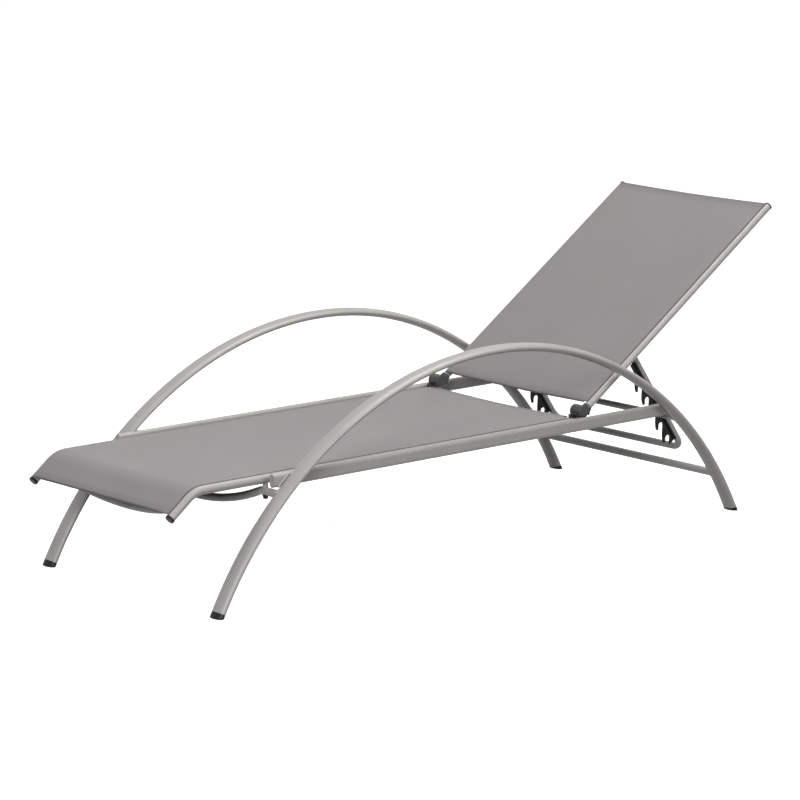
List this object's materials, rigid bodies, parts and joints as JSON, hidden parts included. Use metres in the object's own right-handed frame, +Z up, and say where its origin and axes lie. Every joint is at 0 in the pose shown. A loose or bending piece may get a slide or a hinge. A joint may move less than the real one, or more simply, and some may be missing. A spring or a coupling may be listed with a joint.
{
  "type": "sun lounger",
  "caption": "Sun lounger with arched side tubes as arms and legs, a stretched cloth seat and a back that tilts on hinges, held by a notched stay.",
  "frame": {"origin": "on the floor, below the middle of the lounger's overall box with the back at its pictured tilt", "axes": "+X from the foot end to the head end, +Z up, +Y to the left of someone who looks towards the head end"},
  "size_m": [1.8087, 0.645, 0.7124],
  "materials": {
    "frame_tube": "satin powder coat",
    "rail_profile": "satin powder coat",
    "black_plastic": "matt",
    "hinge_plastic": "semi-gloss",
    "black_coat": "black coat",
    "lug_steel": "satin powder coat",
    "bolt_steel": "zinc plated",
    "cloth": "woven, matt",
    "edge_cord": "matt"
  },
  "bodies": {
    "base_frame": {"arch_left": "frame_tube", "arch_right": "frame_tube", "base_rail_left": "frame_tube", "base_rail_right": "frame_tube", "base_rail_stopper_front_left": "frame_tube", "base_rail_stopper_front_right": "frame_tube", "base_rail_stopper_rear_left": "frame_tube", "base_rail_stopper_rear_right": "frame_tube", "foot_cap_front_left": "black_plastic", "foot_cap_front_right": "black_plastic", "foot_cap_rear_left": "black_plastic", "foot_cap_rear_right": "black_plastic", "front_bolts": "black_plastic", "front_crossbar": "frame_tube", "front_spacers": "frame_tube", "front_washers": "black_plastic", "hinge_pin_left": "hinge_plastic", "hinge_pin_right": "hinge_plastic", "hinge_screws": "bolt_steel", "hinge_seat_half_left": "hinge_plastic", "hinge_seat_half_right": "hinge_plastic", "hook_bar": "frame_tube", "rear_stretcher": "frame_tube", "seat_cloth": "cloth", "seat_cord_left": "edge_cord", "seat_cord_right": "edge_cord", "seat_rail_head_cap_left": "black_plastic", "seat_rail_head_cap_right": "black_plastic", "seat_rail_left": "rail_profile", "seat_rail_right": "rail_profile", "seat_rail_toe_cap_left": "black_plastic", "seat_rail_toe_cap_right": "black_plastic", "side_bolts": "bolt_steel", "side_spacers": "frame_tube", "toe_bar": "frame_tube"},
    "backrest": {"back_bar_middle": "frame_tube", "back_bar_top": "frame_tube", "back_cloth": "cloth", "back_cord_left": "edge_cord", "back_cord_right": "edge_cord", "back_rail_cap_left": "black_plastic", "back_rail_cap_right": "black_plastic", "back_rail_left": "rail_profile", "back_rail_right": "rail_profile", "hinge_back_half_left": "hinge_plastic", "hinge_back_half_right": "hinge_plastic", "stay_lug_left": "lug_steel", "stay_lug_right": "lug_steel"},
    "back_stay": {"rack_left": "black_coat", "rack_right": "black_coat", "stay_bolts": "bolt_steel", "stay_bushes": "black_plastic", "stay_nuts": "bolt_steel", "stay_stoppers": "black_plastic", "stay_tube": "frame_tube"}
  },
  "joints": [
    {"name": "backrest_tilt", "type": "hinge", "parent": "base_frame", "child": "backrest", "pos_m": [0.27641, 0, 0.2905], "axis": [0, -1, 0], "range_deg": [0, 30]},
    {"name": "stay_swing", "type": "hinge", "parent": "backrest", "child": "back_stay", "pos_m": [0.47711, 0, 0.39645], "axis": [0, -1, 0], "range_deg": [-8, 0]}
  ],
  "couplings": [
    {"joint": "stay_swing", "follows": "backrest_tilt", "ratio": -0.23}
  ]
}
